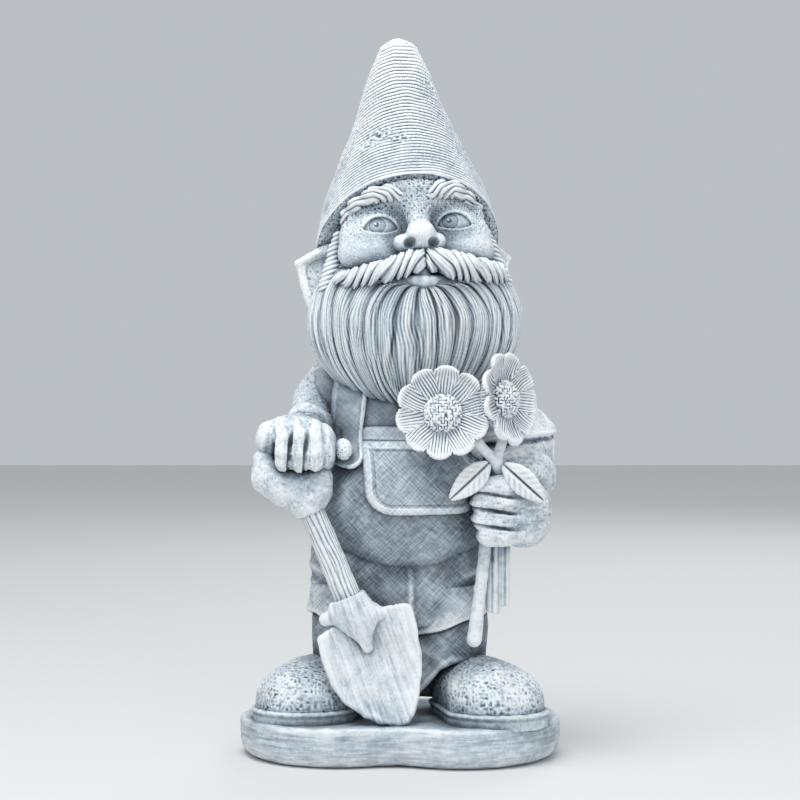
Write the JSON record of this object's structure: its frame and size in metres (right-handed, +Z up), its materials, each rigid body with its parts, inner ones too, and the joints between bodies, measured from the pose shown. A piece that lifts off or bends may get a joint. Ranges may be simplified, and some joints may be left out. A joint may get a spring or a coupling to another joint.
{
  "type": "garden gnome statue",
  "caption": "Cast-stone garden gnome in a tall pointed hat, with a full beard and overalls, resting a spade and holding two flowers, on a low two-lobed plinth.",
  "frame": {"origin": "middle of the flat underside of the plinth", "axes": "+Z up through the tip of the hat, -Y towards what the figure faces, +X towards the gnome's own left"},
  "size_m": [0.244, 0.184, 0.549],
  "materials": {
    "plinth_stone": "worn cast stone, brushed grey wash over a darker base",
    "spade_stone": "worn cast stone with a scratched grain and a pale dry-brushed edge",
    "flower_stone": "cast stone, pale dry-brushed petals over slate-grey grooves",
    "hair_stone": "cast stone, pale dry-brushed locks over slate-grey grooves",
    "skin_stone": "stippled cast stone with a pale dry-brushed highlight",
    "hat_stone": "cast stone with fine ribs, pale on their crests",
    "cloth_stone": "cast stone with an incised weave, slate grey with a pale wash"
  },
  "bodies": {
    "root": {"back_hair": "hair_stone", "beard": "hair_stone", "bib": "cloth_stone", "bib_pocket": "cloth_stone", "flower_stems": "flower_stone", "hat": "hat_stone", "hat_brim": "hat_stone", "head": "skin_stone", "large_flower_centre": "flower_stone", "large_flower_petals": "flower_stone", "leaves": "flower_stone", "left_boot_sole": "cloth_stone", "left_boot_upper": "cloth_stone", "left_cuff": "cloth_stone", "left_ear": "skin_stone", "left_eye": "skin_stone", "left_eyebrow": "hair_stone", "left_hand": "skin_stone", "left_moustache": "hair_stone", "left_sideburn": "hair_stone", "left_sleeve": "cloth_stone", "left_strap": "cloth_stone", "left_trouser_leg": "cloth_stone", "lower_lip": "skin_stone", "nose": "skin_stone", "overalls_back": "cloth_stone", "overalls_belly": "cloth_stone", "plinth": "plinth_stone", "rear_pockets": "cloth_stone", "right_boot_sole": "cloth_stone", "right_boot_upper": "cloth_stone", "right_cuff": "cloth_stone", "right_ear": "skin_stone", "right_eye": "skin_stone", "right_eyebrow": "hair_stone", "right_hand": "skin_stone", "right_moustache": "hair_stone", "right_sideburn": "hair_stone", "right_sleeve": "cloth_stone", "right_strap": "cloth_stone", "right_trouser_leg": "cloth_stone", "shirt_body": "cloth_stone", "shovel_blade": "spade_stone", "shovel_grip": "spade_stone", "shovel_shaft": "spade_stone", "shovel_socket": "spade_stone", "small_flower_centre": "flower_stone", "small_flower_petals": "flower_stone", "stem_bundle": "flower_stone", "stem_end": "flower_stone", "strap_buttons": "cloth_stone", "trouser_seat": "cloth_stone"}
  },
  "joints": []
}
